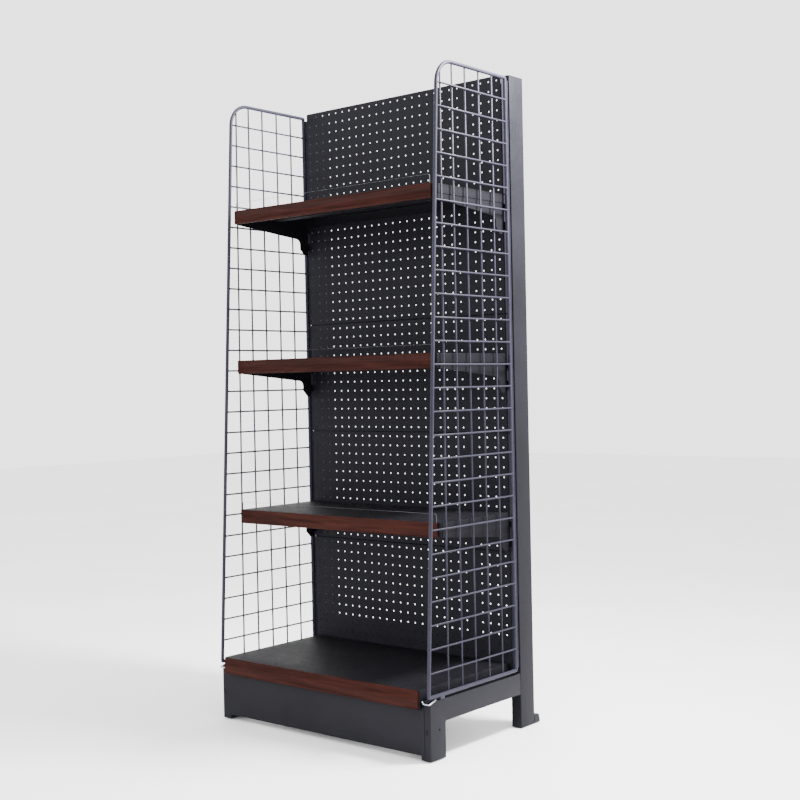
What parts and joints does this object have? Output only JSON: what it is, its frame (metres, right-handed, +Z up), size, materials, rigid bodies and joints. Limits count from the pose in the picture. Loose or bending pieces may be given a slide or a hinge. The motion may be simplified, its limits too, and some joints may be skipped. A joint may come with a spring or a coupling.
{
  "type": "gondola shelving unit",
  "caption": "Single-sided retail gondola bay: slotted uprights, perforated back, hooked steel shelves with wood-look price strips, a base deck and wire side panels.",
  "frame": {"origin": "on the floor, at the middle of the bounding box", "axes": "+Z up, the open front faces -Y, the width runs along X"},
  "size_m": [0.9502, 0.624, 2.2],
  "materials": {
    "frame_steel": "charcoal powder coat, fine texture, satin",
    "shelf_steel": "charcoal powder coat, fine texture, satin",
    "panel_steel": "charcoal powder coat on perforated sheet",
    "wire_steel": "blue-grey powder coat on welded wire",
    "wood_vinyl": "dark red-brown wood-grain foil on extruded plastic",
    "clear_plastic": "clear extruded sheet",
    "zinc": "bright zinc plate",
    "black_plastic": "moulded, lightly textured"
  },
  "bodies": {
    "frame": {"upright_left": "frame_steel", "upright_cap_left": "black_plastic", "upright_shoe_left": "black_plastic", "base_bracket_left": "frame_steel", "leg_nut_plate_left": "zinc", "upright_right": "frame_steel", "upright_cap_right": "black_plastic", "upright_shoe_right": "black_plastic", "base_bracket_right": "frame_steel", "leg_nut_plate_right": "zinc", "rear_tie_beam": "frame_steel", "back_panel_1": "panel_steel", "back_panel_2": "panel_steel", "back_panel_3": "panel_steel", "back_panel_4": "panel_steel", "back_panel_5": "panel_steel"},
    "front_foot_left_body": {"front_foot_left": "zinc"},
    "front_foot_right_body": {"front_foot_right": "zinc"},
    "rear_foot_left_body": {"rear_foot_left": "zinc"},
    "rear_foot_right_body": {"rear_foot_right": "zinc"},
    "kickplate_body": {"kickplate": "frame_steel"},
    "base_deck_body": {"base_deck": "shelf_steel", "base_deck_rib": "shelf_steel", "base_price_strip": "wood_vinyl"},
    "shelf_1_brackets": {"shelf_1_bracket_left": "shelf_steel", "shelf_1_bracket_right": "shelf_steel"},
    "shelf_1_tray_body": {"shelf_1_tray": "shelf_steel", "shelf_1_rib": "shelf_steel", "shelf_1_price_strip": "wood_vinyl", "shelf_1_front_stop": "clear_plastic"},
    "shelf_2_brackets": {"shelf_2_bracket_left": "shelf_steel", "shelf_2_bracket_right": "shelf_steel"},
    "shelf_2_tray_body": {"shelf_2_tray": "shelf_steel", "shelf_2_rib": "shelf_steel", "shelf_2_price_strip": "wood_vinyl", "shelf_2_front_stop": "clear_plastic"},
    "shelf_3_brackets": {"shelf_3_bracket_left": "shelf_steel", "shelf_3_bracket_right": "shelf_steel"},
    "shelf_3_tray_body": {"shelf_3_tray": "shelf_steel", "shelf_3_rib": "shelf_steel", "shelf_3_price_strip": "wood_vinyl", "shelf_3_front_stop": "clear_plastic"},
    "side_panel_left_body": {"side_panel_left": "wire_steel", "side_panel_clip_left": "zinc"},
    "side_panel_right_body": {"side_panel_right": "wire_steel", "side_panel_clip_right": "zinc"}
  },
  "joints": [
    {"name": "front_foot_left_screw", "type": "slide", "parent": "frame", "child": "front_foot_left_body", "axis": [0, 0, -1], "range_m": [0, 0.02]},
    {"name": "front_foot_right_screw", "type": "slide", "parent": "frame", "child": "front_foot_right_body", "axis": [0, 0, -1], "range_m": [0, 0.02]},
    {"name": "rear_foot_left_screw", "type": "slide", "parent": "frame", "child": "rear_foot_left_body", "axis": [0, 0, -1], "range_m": [0, 0.02]},
    {"name": "rear_foot_right_screw", "type": "slide", "parent": "frame", "child": "rear_foot_right_body", "axis": [0, 0, -1], "range_m": [0, 0.02]},
    {"name": "kickplate_pull", "type": "slide", "parent": "frame", "child": "kickplate_body", "axis": [0, -1, 0], "range_m": [0, 0.06]},
    {"name": "base_deck_lift", "type": "slide", "parent": "frame", "child": "base_deck_body", "axis": [0, 0, 1], "range_m": [0, 0.1]},
    {"name": "shelf_1_unhook", "type": "slide", "parent": "frame", "child": "shelf_1_brackets", "axis": [0, 0, 1], "range_m": [0, 0.01]},
    {"name": "shelf_1_tray_lift", "type": "slide", "parent": "shelf_1_brackets", "child": "shelf_1_tray_body", "axis": [0, 0, 1], "range_m": [0, 0.1]},
    {"name": "shelf_2_unhook", "type": "slide", "parent": "frame", "child": "shelf_2_brackets", "axis": [0, 0, 1], "range_m": [0, 0.01]},
    {"name": "shelf_2_tray_lift", "type": "slide", "parent": "shelf_2_brackets", "child": "shelf_2_tray_body", "axis": [0, 0, 1], "range_m": [0, 0.1]},
    {"name": "shelf_3_unhook", "type": "slide", "parent": "frame", "child": "shelf_3_brackets", "axis": [0, 0, 1], "range_m": [0, 0.01]},
    {"name": "shelf_3_tray_lift", "type": "slide", "parent": "shelf_3_brackets", "child": "shelf_3_tray_body", "axis": [0, 0, 1], "range_m": [0, 0.1]},
    {"name": "side_panel_left_pull", "type": "slide", "parent": "frame", "child": "side_panel_left_body", "axis": [0, -1, 0], "range_m": [0, 0.08]},
    {"name": "side_panel_right_pull", "type": "slide", "parent": "frame", "child": "side_panel_right_body", "axis": [0, -1, 0], "range_m": [0, 0.08]}
  ]
}
